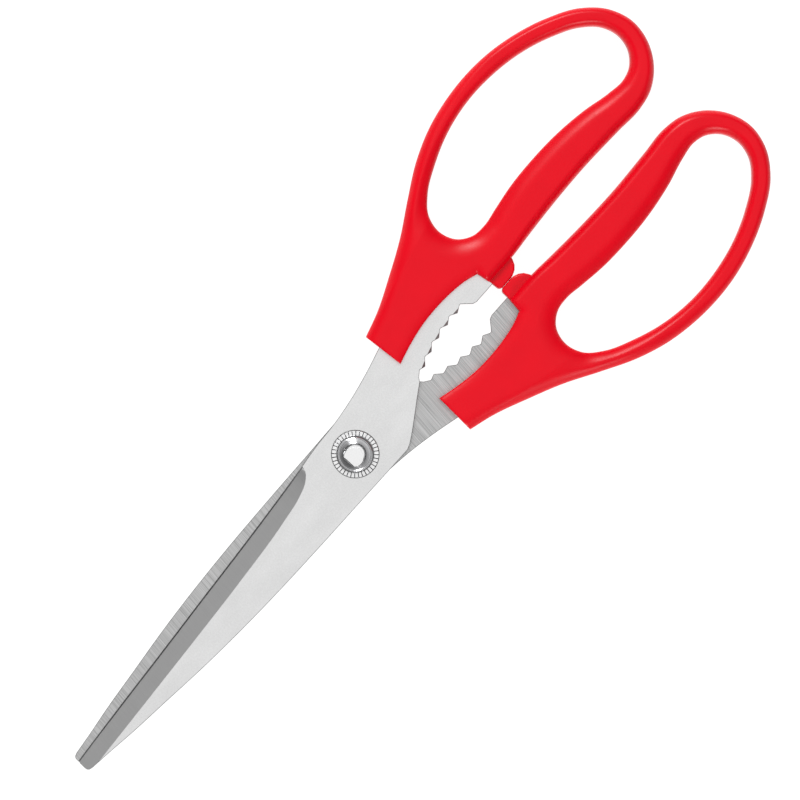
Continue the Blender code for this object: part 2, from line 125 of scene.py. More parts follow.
# Pivot. SERRATION is one tooth: shares of the pitch, each with the depth below the land. The
# bolt's end is off centre, STUD_END high, and starts STUD_END_SINK inside the stud.
SERRATION_COUNT = 36
SERRATION = ((0.0, 0.4), (0.09, 0.06), (0.12, 0.0), (0.5, 0.0), (0.88, 0.0), (0.91, 0.06))
BORE = 3.0
WASHER_RIM = 6.85
STUD_END = 0.45
STUD_END_SINK = 0.2
STUD_END_ROUNDING = 0.12 * MM
STUD_END_CIRCLE = (0.25, -0.95, 2.8)
STUD_END_FLAT = -2.85

# The grinding and brushing lines run this many degrees off square to the blade.
LINE_TURN = -7.5

# Handles.
GRIP_HALF = 6.2
BOW_HALF = 4.1
STOP_HALF = 3.7
LUG_ROUNDING = 0.6 * MM
TANG_FIT = 0.03
TANG_START = ((-1.0, 20.0), (-1.0, 56.4))
# How far in from the side and from the hole the sections have their close steps, at most, and
# the share of a section's length that each of these may take.
SIDE_REACH = 4.6
HOLE_REACH = 6.2
REACH_SHARE = 0.45
EDGE_STEPS = 11
MIDDLE_STEPS = 5
COLLAR_END = ((7.5, 28.2), (20.2, 27.4))
OUTER_SIDE = (
    (20.2, 27.4), (22.5, 35.0), (26.8, 45.0), (31.6, 55.1), (37.4, 65.0), (42.9, 75.0),
    (46.6, 85.0), (48.4, 94.5), (48.9, 102.5), (48.3, 111.5), (46.2, 121.0), (42.3, 131.1),
    (36.8, 140.0), (30.4, 145.2), (23.0, 147.2), (15.5, 145.6), (9.2, 141.0), (5.7, 135.4),
    (4.5, 129.5), (4.9, 121.0), (5.4, 106.0), (5.1, 93.0), (4.4, 81.0), (3.8, 73.0),
    (4.0, 63.0),
)
SHELF = ((4.0, 63.0), (8.1, 62.4))
JAW_SIDE = ((8.1, 62.4), (9.3, 58.7), (10.2, 53.0), (10.5, 47.5), (10.2, 41.0), (9.1, 34.5),
            (7.5, 28.2))
FINGER_HOLE = (
    (24.5, 64.3), (29.7, 65.7), (34.2, 70.3), (38.4, 78.3), (41.8, 88.0), (43.4, 98.5),
    (43.0, 109.5), (40.9, 119.8), (37.5, 128.5), (33.2, 135.8), (28.6, 139.9), (23.5, 141.3),
    (18.2, 139.9), (14.8, 136.4), (13.7, 132.3), (14.3, 127.0), (16.3, 118.5), (17.8, 108.0),
    (18.2, 97.5), (17.8, 88.0), (16.7, 80.0), (15.9, 74.5), (16.4, 70.0), (19.3, 66.0),
)
# Where each run of sections starts on a piece of the edge and on the finger hole, the
# half thickness there, and how many sections follow.
SECTIONS = (
    (COLLAR_END, 0.0, 23.6, GRIP_HALF, 40),
    (OUTER_SIDE, 0.0, 24.7, GRIP_HALF, 60),
    (OUTER_SIDE, 4.0, 25.7, 5.4, 60),
    (OUTER_SIDE, 7.0, 28.6, BOW_HALF, 110),
    (OUTER_SIDE, 14.0, 35.0, 4.5, 60),
    (OUTER_SIDE, 18.0, 38.6, 5.8, 50),
    (OUTER_SIDE, 20.0, 41.2, GRIP_HALF, 60),
    (OUTER_SIDE, 23.0, 45.3, GRIP_HALF, 40),
    (SHELF, 0.0, 46.3, GRIP_HALF, 16),
    (JAW_SIDE, 0.0, 46.6, GRIP_HALF, 70),
)
# Rounded edges: the point of the outline, the width, the depth and how the rounding leaves
# the face, which is smoothly at 2 and with a ridge at less.
SIDE_ROUNDING = ((0, 4.6, 3.0, 2.0), (4, 4.0, 3.2, 2.0), (7, 3.2, 3.2, 2.0), (9, 2.0, 3.0, 2.0),
                 (14, 2.0, 3.2, 2.0), (17, 2.4, 3.8, 1.5), (18, 2.3, 4.4, 1.25),
                 (22, 2.2, 4.6, 1.25), (24, 2.0, 2.6, 1.4))
HOLE_ROUNDING = ((0, 6.2, 3.4, 1.4), (2, 4.4, 3.3, 1.6), (4, 2.2, 2.9, 1.8), (9, 2.0, 2.8, 1.8),
                 (12, 2.4, 3.0, 1.8), (14, 3.6, 3.6, 1.6), (17, 4.4, 3.6, 1.3),
                 (21, 4.6, 3.4, 1.3), (24, 6.2, 3.4, 1.4))
COLLAR_ROUNDING = ((0, 0.6, 0.6, 2.0), (1, 0.6, 0.6, 2.0))
SHELF_ROUNDING = ((0, 1.4, 1.2, 1.6), (1, 1.4, 1.2, 1.6))
JAW_ROUNDING = ((0, 3.0, 1.1, 1.4), (6, 3.2, 1.1, 1.4))
STOP_LUG = ((8.0, 71.0), (5.0, 72.9), (3.3, 72.4), (1.8, 71.6), (0.75, 70.4), (0.15, 68.9),
            (0.02, 68.2), (0.02, 64.4), (0.5, 63.3), (8.0, 62.9))

# Materials: the part of a noise texture's output that is stretched over a range of values.
NOISE_LOW = 0.3
NOISE_HIGH = 0.7

# Stage, in metres, and the sensor in millimetres. A lamp has its place, its size and its power in
# watts. The sky has its grey at heights from the horizon, 0, to the top, 1; SKY_TILT and
# CAMERA_ROLL are in degrees.
LAMPS_AIM = (0, 0.02, 0)
KEY_LAMP = ((-1.5, 0.9, 1.4), (0.7, 0.7), 42.0)
FILL_LAMP = ((1.4, -1.1, 0.9), (0.8, 0.6), 24.0)
SKY_LEVELS = ((0.0, 1.2), (0.2, 0.6), (0.42, 0.17), (0.66, 0.13), (0.985, 1.03))
SKY_TILT = 9
FLOOR_SIZE = 8
FLOOR_Z = -0.0003
CAMERA_X = -0.69 * MM
CAMERA_Y = 20.3 * MM
CAMERA_DISTANCE = 1.5
CAMERA_ROLL = 41.5
FRAME_WIDTH = 0.232
SENSOR_WIDTH = 36


def tangents(points, closed):
    """The slope at each point of the parabola through it and its two neighbours."""
    before = np.roll(points, 1, axis=0)
    after = np.roll(points, -1, axis=0)
    back = np.linalg.norm(points - before, axis=1)[:, None]
    ahead = np.linalg.norm(after - points, axis=1)[:, None]
    slope = ((points - before) / back * ahead + (after - points) / ahead * back) / (back + ahead)
    if not closed:
        slope[0] = (points[1] - points[0]) / ahead[0]
        slope[-1] = (points[-1] - points[-2]) / back[-1]
    return slope


def along(outline, where, closed=False):
    """Points of a smooth curve through outline, where counts in points of the list."""
    points = np.array(outline, float)
    slope = tangents(points, closed)
    where = np.atleast_1d(np.asarray(where, float))
    spans = len(points) if closed else len(points) - 1
    start = np.clip(np.floor(where), 0, spans - 1 if not closed else None).astype(int)
    t = (where - start)[:, None]
    a, b = start % len(points), (start + 1) % len(points)
    chord = np.linalg.norm(points[b] - points[a], axis=1)[:, None]
    return (
        points[a] * (2 * t**3 - 3 * t**2 + 1)
        + slope[a] * chord * (t**3 - 2 * t**2 + t)
        + points[b] * (3 * t**2 - 2 * t**3)
        + slope[b] * chord * (t**3 - t**2)
    )


def smooth(outline, steps):
    """The curve through outline, cut into steps pieces for each of its spans."""
    return along(outline, np.linspace(0, len(outline) - 1, (len(outline) - 1) * steps + 1))


def mirrored(points):
    """The points of the other half of the shears."""
    return np.array(points, float) * (-1, 1)


def grown(points, gap):
    """A counterclockwise outline moved outwards by gap, its corners kept sharp."""
    points = np.array(points, float)
    step = np.roll(points, -1, axis=0) - points
    step /= np.linalg.norm(step, axis=1)[:, None]
    normal = np.stack([step[:, 1], -step[:, 0]], axis=1)
    before = np.roll(normal, 1, axis=0)
    return points + gap * (normal + before) / (1 + (normal * before).sum(axis=1))[:, None]


# ---------------------------------------------------------------- mesh helpers


def add(name, mesh):
    """An object with the mesh, in the scene."""
    obj = bpy.data.objects.new(name, mesh)
    bpy.context.scene.collection.objects.link(obj)
    return obj


def face_outwards(mesh):
    """Turn the normals of a closed mesh outwards."""
    body = bmesh.new()
    body.from_mesh(mesh)
    bmesh.ops.recalc_face_normals(body, faces=body.faces)
    body.to_mesh(mesh)
    body.free()


def applied(obj):
    """obj with its modifiers made into its mesh."""
    bpy.context.view_layer.update()
    graph = bpy.context.evaluated_depsgraph_get()
    mesh = bpy.data.meshes.new_from_object(obj.evaluated_get(graph))
    old = obj.data
    obj.modifiers.clear()
    obj.data = mesh
    bpy.data.meshes.remove(old)
    return obj


def plate(name, outlines, low, high):
    """A flat solid between two heights: the first outline is its edge, the rest holes."""
    curve = bpy.data.curves.new(name, "CURVE")
    curve.dimensions = "2D"
    curve.fill_mode = "BOTH"
    curve.extrude = (high - low) / 2
    for outline in outlines:
        spline = curve.splines.new("POLY")
        spline.points.add(len(outline) - 1)
        for point, (x, y) in zip(spline.points, outline):
            point.co = (x * MM, y * MM, 0, 1)
        spline.use_cyclic_u = True
    drawn = bpy.data.objects.new(name + "_outline", curve)
    bpy.context.scene.collection.objects.link(drawn)
    bpy.context.view_layer.update()
    mesh = bpy.data.meshes.new_from_object(
        drawn.evaluated_get(bpy.context.evaluated_depsgraph_get())
    )
    bpy.data.objects.remove(drawn)
    sheet = bmesh.new()
    sheet.from_mesh(mesh)
    bmesh.ops.remove_doubles(sheet, verts=sheet.verts, dist=1e-6)
    bmesh.ops.recalc_face_normals(sheet, faces=sheet.faces)
    bmesh.ops.dissolve_limit(sheet, angle_limit=1e-4, verts=sheet.verts, edges=sheet.edges)
    bmesh.ops.translate(sheet, verts=sheet.verts, vec=(0, 0, (low + high) / 2))
    sheet.to_mesh(mesh)
    sheet.free()
    return add(name, mesh)


def loft(name, sections, ring=False):
    """A solid through sections of equally many points; ring joins the last to the first."""
    rows, columns = len(sections), len(sections[0])
    points = np.array(sections, float).reshape(-1, 3)
    faces = []
    for row in range(rows if ring else rows - 1):
        here = row * columns
        after = (row + 1) % rows * columns
        for k in range(columns):
            ahead = (k + 1) % columns
            faces.append((here + k, here + ahead, after + ahead, after + k))
    if not ring:
        faces.append(tuple(range(columns))[::-1])
        faces.append(tuple((rows - 1) * columns + k for k in range(columns)))
    mesh = bpy.data.meshes.new(name)
    mesh.from_pydata(points.tolist(), [], faces)
    face_outwards(mesh)
    return add(name, mesh)


def cut(obj, cutter, operation="DIFFERENCE"):
    """Cuts obj by cutter, or joins them, and removes the cutter."""
    boolean = obj.modifiers.new("cut", "BOOLEAN")
    boolean.operation = operation
    boolean.solver = "EXACT"
    boolean.object = cutter
    boolean.material_mode = "TRANSFER"
    applied(obj)
    bpy.data.objects.remove(cutter)
    return obj


def merge_caps(obj):
    """Join the triangles of the flat faces: their slivers would hold the rounding back."""
    mesh = bmesh.new()
    mesh.from_mesh(obj.data)
    inner = [edge for edge in mesh.edges
             if all(abs(face.normal.z) > 0.999 for face in edge.link_faces)]
    bmesh.ops.dissolve_limit(mesh, angle_limit=0.001, verts=[], edges=inner)
    mesh.to_mesh(obj.data)
    mesh.free()


def round_edges(obj, width, segments, angle, clamp=True):
    """Round the edges sharper than the angle; clamp lets short edges hold the width back."""
    bevel = obj.modifiers.new("rounding", "BEVEL")
    bevel.width = width
    bevel.segments = segments
    bevel.limit_method = "ANGLE"
    bevel.angle_limit = math.radians(angle)
    bevel.use_clamp_overlap = clamp
    return applied(obj)


def shade(obj, sharp_angle):
    """Smooth shading, with edges sharper than the angle left crisp."""
    mesh = obj.data
    mesh.shade_smooth()
    mesh.set_sharp_from_angle(angle=math.radians(sharp_angle))


def flatten_level_faces(mesh):
    """Take the smooth shading off level faces, so that the rounding doesn't shade them."""
    for face in mesh.polygons:
        face.use_smooth = abs(face.normal.z) < LEVEL_NORMAL


def paint(mesh, *looks):
    """Give the mesh these materials and no other."""
    mesh.materials.clear()
    for look in looks:
        mesh.materials.append(look)


# ------------------------------------------------------------------ materials


class Look:
    """A Principled material with its textures, in the model's own metres."""

    def __init__(self, name, colour, roughness, metallic=0.0):
        self.material = bpy.data.materials.new(name)
        self.material.use_nodes = True
        self.tree = self.material.node_tree
        self.shader = self.tree.nodes["Principled BSDF"]
        self.colour = colour
        self.shader.inputs["Base Color"].default_value = (*colour, 1)
        self.shader.inputs["Roughness"].default_value = roughness
        self.shader.inputs["Metallic"].default_value = metallic
        self.place = self.tree.nodes.new("ShaderNodeTexCoord").outputs["Object"]

    def link(self, source, target):
        self.tree.links.new(source, target)

    def noise(self, grain, stretch=(1, 1, 1), turn=0.0, detail=3.0, roughness=0.5):
        """Noise whose grain is so many metres across, stretched along the axes."""
        mapping = self.tree.nodes.new("ShaderNodeMapping")
        mapping.vector_type = "TEXTURE"
        mapping.inputs["Rotation"].default_value = (0, 0, math.radians(turn))
        mapping.inputs["Scale"].default_value = [grain * s for s in stretch]
        self.link(self.place, mapping.inputs["Vector"])
        noise = self.tree.nodes.new("ShaderNodeTexNoise")
        noise.inputs["Scale"].default_value = 1
        noise.inputs["Detail"].default_value = detail
        noise.inputs["Roughness"].default_value = roughness
        self.link(mapping.outputs["Vector"], noise.inputs["Vector"])
        return noise.outputs["Fac"]

    def ranged(self, source, low, high):
        """A noise as values from low to high."""
        node = self.tree.nodes.new("ShaderNodeMapRange")
        node.inputs["From Min"].default_value = NOISE_LOW
        node.inputs["From Max"].default_value = NOISE_HIGH
        node.inputs["To Min"].default_value = low
        node.inputs["To Max"].default_value = high
        self.link(source, node.inputs["Value"])
        return node.outputs["Result"]

    def times(self, a, b):
        node = self.tree.nodes.new("ShaderNodeMath")
        node.operation = "MULTIPLY"
        self.link(a, node.inputs[0])
        self.link(b, node.inputs[1])
        return node.outputs["Value"]

    def tint(self, factor):
        """The base colour times a factor that varies over the surface."""
        node = self.tree.nodes.new("ShaderNodeVectorMath")
        node.operation = "SCALE"
        node.inputs[0].default_value = self.colour
        self.link(factor, node.inputs["Scale"])
        self.link(node.outputs["Vector"], self.shader.inputs["Base Color"])

    def roughen(self, source):
        self.link(source, self.shader.inputs["Roughness"])

    def bump(self, source, depth, strength):
        """Relief as deep as depth, in metres, where the source goes from 0 to 1."""
        node = self.tree.nodes.new("ShaderNodeBump")
        node.inputs["Strength"].default_value = strength
        node.inputs["Distance"].default_value = depth
        self.link(source, node.inputs["Height"])
        self.link(node.outputs["Normal"], self.shader.inputs["Normal"])


def red_plastic():
    """Moulded polypropylene: an even red with a faint orange-peel skin."""
    look = Look("red_plastic", (0.645, 0.0005, 0.009), 0.34)
    cloud = look.noise(9 * MM, detail=2)
    look.tint(look.ranged(cloud, 0.975, 1.025))
    fine = look.noise(0.4 * MM, detail=2)
    look.roughen(look.ranged(fine, 0.3, 0.38))
    look.bump(fine, 0.015 * MM, 0.7)
    look.shader.inputs["IOR"].default_value = 1.49
    look.shader.inputs["Specular IOR Level"].default_value = 0.17
    return look.material


def blasted_steel():
    """The blades' outer faces: fine satin with a cloudy mottle."""
    look = Look("satin_steel", (0.79, 0.79, 0.79), 0.3, 1.0)
    cloud = look.ranged(look.noise(6 * MM, (1, 2.2, 1), detail=4), 0.96, 1.03)
    fine = look.noise(0.5 * MM, detail=2)
    look.tint(look.times(cloud, look.ranged(fine, 0.93, 1.06)))
    look.roughen(look.ranged(fine, 0.27, 0.34))
    look.bump(fine, 0.008 * MM, 0.5)
    return look.material


def ground_steel():
    """The bevels: smooth, darker, with grinding lines across the blade."""
    look = Look("ground_steel", (0.7, 0.7, 0.7), 0.42, 1.0)
    lines = look.noise(0.22 * MM, (40, 1, 40), turn=LINE_TURN, detail=2)
    look.tint(look.ranged(lines, 0.97, 1.03))
    look.roughen(look.ranged(lines, 0.4, 0.44))
    look.bump(lines, 0.003 * MM, 0.4)
    return look.material


def brushed_steel():
    """The blades' inner faces: coarse belt lines across the blade."""
    look = Look("brushed_steel", (0.52, 0.52, 0.52), 0.3, 1.0)
    wide = look.ranged(look.noise(0.8 * MM, (22, 1, 22), turn=LINE_TURN, detail=1), 0.97, 1.03)
    lines = look.noise(0.2 * MM, (90, 1, 90), turn=LINE_TURN, detail=1, roughness=0.6)
    look.tint(look.times(wide, look.ranged(lines, 0.7, 1.24)))
    look.roughen(look.ranged(lines, 0.26, 0.36))
    look.bump(lines, 0.006 * MM, 0.6)
    return look.material


def painted_shade_edge_steel():
    """Sheared and honed edges, and the serrated washer's rim: slightly streaked, and darker as painted
    shade, for the dark shadow lines along the edges and round the rim.
    """
    look = Look("painted_shade_edge_steel", (0.26, 0.26, 0.26), 0.38, 1.0)
    streaks = look.noise(0.25 * MM, (1, 1, 12), detail=3)
    look.tint(look.ranged(streaks, 0.85, 1.15))
    look.roughen(look.ranged(streaks, 0.3, 0.45))
    return look.material


def plated_steel_and_groove_shade():
    """The nut's plating, a little uneven; on the serrated washer's grooves its darker tone is painted
    shade.
    """
    look = Look("plated_steel_and_groove_shade", (0.52, 0.52, 0.53), 0.2, 1.0)
    fine = look.noise(0.3 * MM, detail=3)
    look.tint(look.ranged(fine, 0.96, 1.03))
    look.roughen(look.ranged(fine, 0.16, 0.24))
    return look.material


def turned_steel():
    """The bolt and the serrated washer's lands: bright and satin."""
    look = Look("turned_steel", (0.88, 0.88, 0.88), 0.3, 1.0)
    fine = look.noise(0.3 * MM, detail=3)
    look.tint(look.ranged(fine, 0.95, 1.03))
    look.roughen(look.ranged(fine, 0.3, 0.42))
    return look.material


def washer_steel():
    """The two washers below the rear blade: dull and a little darker."""
    look = Look("spring_steel", (0.42, 0.42, 0.43), 0.4, 1.0)
    fine = look.noise(0.4 * MM, detail=3)
    look.tint(look.ranged(fine, 0.9, 1.08))
    look.roughen(look.ranged(fine, 0.34, 0.46))
    return look.material


def light_table():
    """The floor: white acrylic with a soft glow of its own, which keeps shadows pale."""
    look = Look("pale_floor", (0.18, 0.18, 0.18), 0.9)
    look.tint(look.ranged(look.noise(120 * MM, detail=2), 0.99, 1.01))
    look.shader.inputs["Specular IOR Level"].default_value = 0.1
    look.shader.inputs["Emission Color"].default_value = (1, 1, 1, 1)
    look.shader.inputs["Emission Strength"].default_value = 0.96
    return look.material


# --------------------------------------------------------------------- blades


def jaw_hollow(y):
    """How far the line of the tooth tips is from the middle of the jaw."""
    return JAW_HOLLOW - JAW_CURVE * (y - JAW_HOLLOW_Y) ** 2


def jaw_teeth():
    """The saw-toothed inner edge of the front blade's jaw, from the pivot outwards."""
    points = list(JAW_START)
    for k in range(TOOTH_COUNT):
        tip = FIRST_TOOTH_Y + k * TOOTH_PITCH
        notch = tip + NOTCH_LAG
        bottom = -jaw_hollow(notch) - NOTCH_DEPTH
        points.append((-jaw_hollow(tip), tip))
        points.append((bottom, notch))
        points.append((bottom, notch + NOTCH_WIDTH))
    points.append(JAW_END)
    return points


def blade_outline():
    """The front blade with its tang, counterclockwise."""
    return np.concatenate([
        BLADE_TIP,
        smooth(SPINE, 8),
        smooth(CROSSOVER, 6),
        jaw_teeth(),
        TANG,
        smooth(SHANK, 8)[:-1],
        smooth(CUTTING_EDGE, 6)[:-1],
    ])


def circle(x, y, radius, steps):
    """Points of a circle round (x, y), counterclockwise."""
    turn = np.linspace(0, 2 * math.pi, steps, endpoint=False)
    return np.stack([x + radius * np.cos(turn), y + radius * np.sin(turn)], axis=1)


def grind_sections(top_z, outward):
    """Sections of the wedge that grinding takes off the front blade's outer face."""
    edge = smooth((*CUTTING_EDGE, EDGE_BEYOND_TIP), 30)[::-1]
    shoulder = smooth(BEVEL_SHOULDER, 30)[::-1]
    full = BLADE_THICKNESS / MM - EDGE_LAND
    sections = []
    share = np.linspace(0, 1, BEVEL_STATIONS) ** BEVEL_CROWDING
    for y in BEVEL_TOP_Y - share * (BEVEL_TOP_Y - BEVEL_END_Y):
        at_edge = np.interp(y, edge[:, 1], edge[:, 0])
        at_shoulder = np.interp(y, shoulder[:, 1], shoulder[:, 0])
        width = max(at_shoulder - at_edge, BEVEL_LEAST_WIDTH)
        micro = min(MICRO_BEVEL, width / 2)
        depth = full * min(1.0, width / BEVEL_RUN_OUT)
        profile = [
            (at_edge + width + CUTTER_RISE / BEVEL_SLOPE, CUTTER_RISE),
            (at_edge + width, 0.0),
            (at_edge + micro, -BEVEL_SLOPE * (width - micro)),
            (at_edge, -depth),
            (at_edge - CUTTER_REACH, -depth),
            (at_edge - CUTTER_REACH, CUTTER_RISE),
        ]
        sections.append([(x * MM, y * MM, top_z + outward * z * MM) for x, z in profile])
    return sections


def jaw_chamfer_sections(top_z, outward):
    """Sections of the chamfer that crosses the tips of the jaw's teeth on the outer face."""
    sections = []
    for y in np.linspace(*JAW_CHAMFER_ENDS, JAW_CHAMFER_STATIONS):
        shoulder = -(jaw_hollow(y) + JAW_CHAMFER)
        profile = [
            (shoulder - 0.3, CUTTER_RISE),
            (shoulder, 0.0),
            (shoulder + JAW_CHAMFER_RUN, -JAW_CHAMFER_DEPTH),
            (shoulder + CUTTER_REACH, -JAW_CHAMFER_DEPTH),
            (shoulder + CUTTER_REACH, CUTTER_RISE),
        ]
        sections.append([(x * MM, y * MM, top_z + outward * z * MM) for x, z in profile])
    return sections


def blade_look(face, outer, outward):
    """Which look a face has: outer is the height of the blade's outer face."""
    facing = face.normal.z * outward
    in_flat = abs(face.center.z - outer) < FLAT_DEPTH
    if facing > FLAT_NORMAL and in_flat:
        return OUTER_LOOK
    if facing < -FLAT_NORMAL:
        return INNER_LOOK
    if facing > BEVEL_NORMAL and not in_flat:
        return BEVEL_LOOK
    # Edges, side walls and the micro-bevel get the dark edge steel, which is painted shade.
    return PAINTED_SHADE_EDGE_LOOK


def make_blade(name, side, low, high, node, body, looks):
    """side is -1 for the front blade, whose tang is on the -X side, and 1 for the rear."""
    flip = mirrored if side > 0 else np.array
    hole = circle(0, 0, PIVOT_HOLE_RADIUS, PIVOT_HOLE_STEPS)
    piece = plate(name, [flip(blade_outline()), hole], low, high)
    merge_caps(piece)
    round_edges(piece, EDGE_ROUNDING, segments=2, angle=60, clamp=False)
    outer, outward = (high, 1) if side < 0 else (low, -1)
    for make_sections in (grind_sections, jaw_chamfer_sections):
        sections = np.array(make_sections(outer, outward))
        if side > 0:
            sections = sections * (-1, 1, 1)
        cut(piece, loft(name + "_grind", sections))
    mesh = piece.data
    paint(mesh, *looks)
    mesh.update()
    for face in mesh.polygons:
        face.material_index = blade_look(face, outer, outward)
    shade(piece, sharp_angle=20)
    flatten_level_faces(mesh)
    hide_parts(node)
    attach(piece, body)
    return piece


# -------------------------------------------------------------------- handles


def nearest(points, piece, closed=False):
    """How far each point is from a piece of the edge, and where on it the nearest is."""
    steps = 10
    spans = len(piece) if closed else len(piece) - 1
    where = np.linspace(0, spans, spans * steps + 1)
    line = along(piece, where, closed)
    start, run = line[:-1], np.diff(line, axis=0)
    share = ((points[:, None] - start) * run).sum(axis=2) / (run**2).sum(axis=1)
    share = np.clip(share, 0, 1)
    gap = np.linalg.norm(points[:, None] - start - share[..., None] * run, axis=2)
    best = gap.argmin(axis=1)
    rows = np.arange(len(points))
    return gap[rows, best], where[best] + share[rows, best] / steps


def edge_drop(points, piece, rounding, closed=False):
    """How far the rounded edge along a piece takes the handle's face down at each point."""
    distance, where = nearest(points, piece, closed)
    keys = np.array(rounding, float)
    width, depth, crest = (np.interp(where, keys[:, 0], keys[:, k]) for k in (1, 2, 3))
    short = 1 - np.clip(distance / width, 0, 1)
    return depth * (1 - np.sqrt(1 - short**crest))


def handle_sections():
    """Closed sections of the rear handle, each across from its edge to the finger hole."""
    turn = np.linspace(0, math.pi / 2, EDGE_STEPS)
    sections = []
    for index, (piece, start, hole_start, half, count) in enumerate(SECTIONS):
        after = SECTIONS[(index + 1) % len(SECTIONS)]
        end = after[1] if after[0] is piece else len(piece) - 1
        hole_end = after[2] if index + 1 < len(SECTIONS) else after[2] + len(FINGER_HOLE)
        share = np.arange(count) / count
        outer = along(piece, start + share * (end - start))
        inner = along(FINGER_HOLE, (hole_start + share * (hole_end - hole_start)) % len(FINGER_HOLE),
                      closed=True)
        ease = share * share * (3 - 2 * share)
        halves = half + ease * (after[3] - half)
        for a, b, rise in zip(outer, inner, halves):
            length = np.linalg.norm(b - a)
            most = REACH_SHARE * length
            outside = min(SIDE_REACH, most) * (1 - np.cos(turn)) / length
            inside = 1 - min(HOLE_REACH, most) * (1 - np.cos(turn)) / length
            middle = np.linspace(outside[-1], inside[-1], MIDDLE_STEPS + 2)[1:-1]
            across = np.concatenate([outside, middle, inside[::-1]])[:, None]
            sections.append((a + across * (b - a), rise))
    columns = len(sections[0][0])
    flat = np.concatenate([line for line, _ in sections])
    half = np.repeat([rise for _, rise in sections], columns)
    drops = [
        edge_drop(flat, COLLAR_END, COLLAR_ROUNDING),
        edge_drop(flat, OUTER_SIDE, SIDE_ROUNDING),
        edge_drop(flat, SHELF, SHELF_ROUNDING),
        edge_drop(flat, JAW_SIDE, JAW_ROUNDING),
        edge_drop(flat, FINGER_HOLE, HOLE_ROUNDING, closed=True),
    ]
    z = half - np.sqrt(np.sum(np.square(drops), axis=0))
    upper = np.column_stack([flat * MM, MIDDLE_Z + z * MM]).reshape(len(sections), columns, 3)
    lower = np.column_stack([flat * MM, MIDDLE_Z - z * MM]).reshape(len(sections), columns, 3)
    return np.concatenate([upper, lower[:, ::-1]], axis=1)


def make_handle(name, side, blade_low, blade_high, node, body, look):
    """A moulded handle: its loop, its stop lug, and the pocket that the tang fills.

    The loop and the lug are drawn for the rear half, and the tang for the front half.
    """
    sections = handle_sections()
    if side < 0:
        sections = sections * (-1, 1, 1)
    piece = loft(name, sections, ring=True)
    flip = np.array if side > 0 else mirrored
    half = STOP_HALF * MM
    lug = plate(name + "_lug", [flip(STOP_LUG)], MIDDLE_Z - half, MIDDLE_Z + half)
    round_edges(lug, LUG_ROUNDING, segments=4, angle=60)
    cut(piece, lug, "UNION")
    tang = grown([*TANG_START, *TANG, *SHANK[:2]], TANG_FIT)
    if side > 0:
        tang = mirrored(tang)
    fit = TANG_FIT * MM
    pocket = plate(name + "_pocket", [tang], blade_low - fit, blade_high + fit)
    cut(piece, pocket)
    paint(piece.data, look)
    shade(piece, sharp_angle=38)
    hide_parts(node)
    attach(piece, body)
    return piece


# ---------------------------------------------------------------------- pivot


def turned(name, profile, steps=128):
    """A solid turned about the pivot axis from a closed profile of (radius, height) in mm."""
    sections = []
    for turn in np.linspace(0, 2 * math.pi, steps, endpoint=False):
        c, s = math.cos(turn), math.sin(turn)
        sections.append([(r * c * MM, r * s * MM, z * MM) for r, z in profile])
    return loft(name, sections, ring=True)


def dress(piece, looks, node, body, sharp_angle):
    """Give a piece of the pivot its looks, its shading and its place in the model."""
    paint(piece.data, *looks)
    shade(piece, sharp_angle)
    flatten_level_faces(piece.data)
    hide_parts(node)
    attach(piece, body)
    return piece


def make_nut(body, look):
    """The round nut with its dished top."""
    low, high = (corner.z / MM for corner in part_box("pivot_nut"))
    profile = [
        (BORE, low), (5.3, low), (5.5, low + 0.15), (5.5, high - 1.25), (5.44, high - 1.05),
        (5.02, high - 0.26), (4.92, high - 0.12), (4.78, high - 0.02), (4.64, high),
        (4.5, high - 0.05), (4.38, high - 0.16), (4.25, high - 0.27), (3.3, high - 1.0),
        (3.15, high - 1.09), (BORE, high - 1.14),
    ]
    nut = turned("nut", profile)
    return dress(nut, [look], "pivot_nut", body, sharp_angle=50)


def make_serrated_washer(body, looks):
    """A washer with radial grooves in its face: each tooth is a flat land and a V groove.

    The looks are for the lands, the grooves and the rim; the grooves' darker steel and the rim's dark
    steel are painted shade.
    """
    low, high = (corner.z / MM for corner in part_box("serrated_washer"))
    sections = []
    for k in range(SERRATION_COUNT):
        for share, depth in SERRATION:
            turn = 2 * math.pi * (k + share) / SERRATION_COUNT
            profile = [
                (BORE, low), (WASHER_RIM, low), (7.0, low + 0.12), (7.0, high - 0.5), (6.96, high - 0.36),
                (6.84, high - 0.1 - depth * 0.75), (6.74, high - depth), (5.62, high - depth),
                (5.5, high - depth * 0.6), (5.4, high), (BORE, high),
            ]
            c, s = math.cos(turn), math.sin(turn)
            sections.append([(r * c * MM, r * s * MM, z * MM) for r, z in profile])
    piece = loft("knurled_washer", sections, ring=True)
    dress(piece, looks, "serrated_washer", body, sharp_angle=28)
    for face in piece.data.polygons:
        outside = math.hypot(face.center.x, face.center.y) > WASHER_RIM * MM
        groove = high - 0.5 < face.center.z / MM < high - 0.02
        # Painted shade: the grooves take the darker plated steel and the rim the dark edge steel.
        face.material_index = 2 if outside else 1 if groove else 0
    return piece


